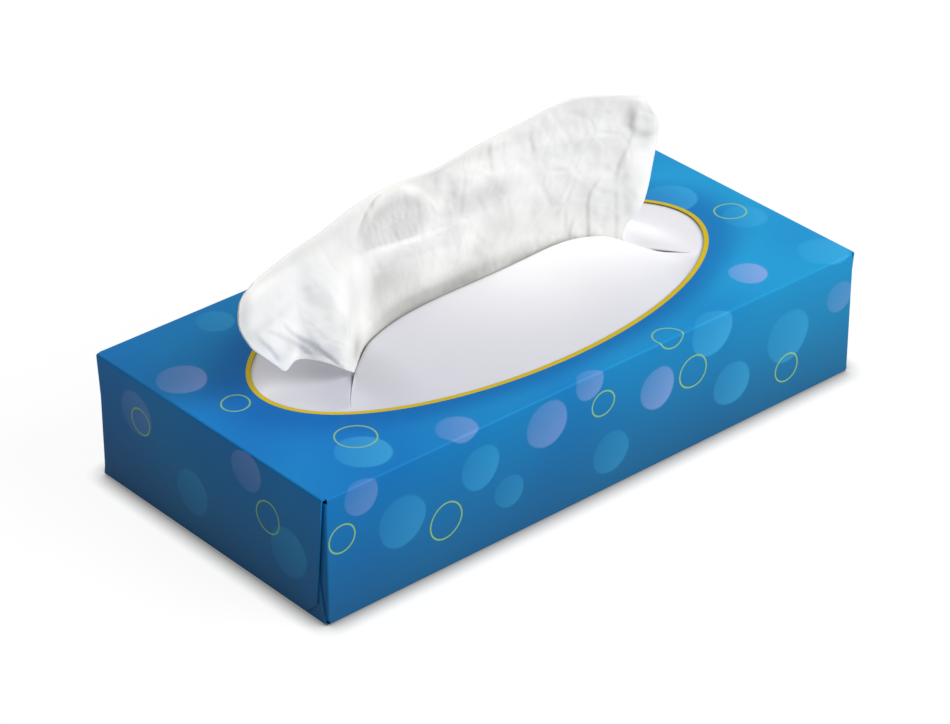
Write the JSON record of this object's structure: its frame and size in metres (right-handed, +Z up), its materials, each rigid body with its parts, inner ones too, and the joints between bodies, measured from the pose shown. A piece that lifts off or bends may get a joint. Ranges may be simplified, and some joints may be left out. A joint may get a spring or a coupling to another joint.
{
  "type": "tissue box",
  "caption": "Flat carton of facial tissues with an oval film window, an arched slit and one sheet standing in it.",
  "frame": {"origin": "centre of the carton's footprint, on the surface that it rests on", "axes": "+X along the carton's length, +Y towards its rear long side, +Z up"},
  "size_m": [0.23, 0.115, 0.1021],
  "materials": {
    "printed_board": "satin varnished print",
    "white_film": "soft gloss",
    "tissue_paper": "matte creped"
  },
  "bodies": {
    "root": {"carton": "printed_board", "dispensing_film": "white_film", "popup_tissue": "tissue_paper", "tissue_pack": "tissue_paper"}
  },
  "joints": []
}
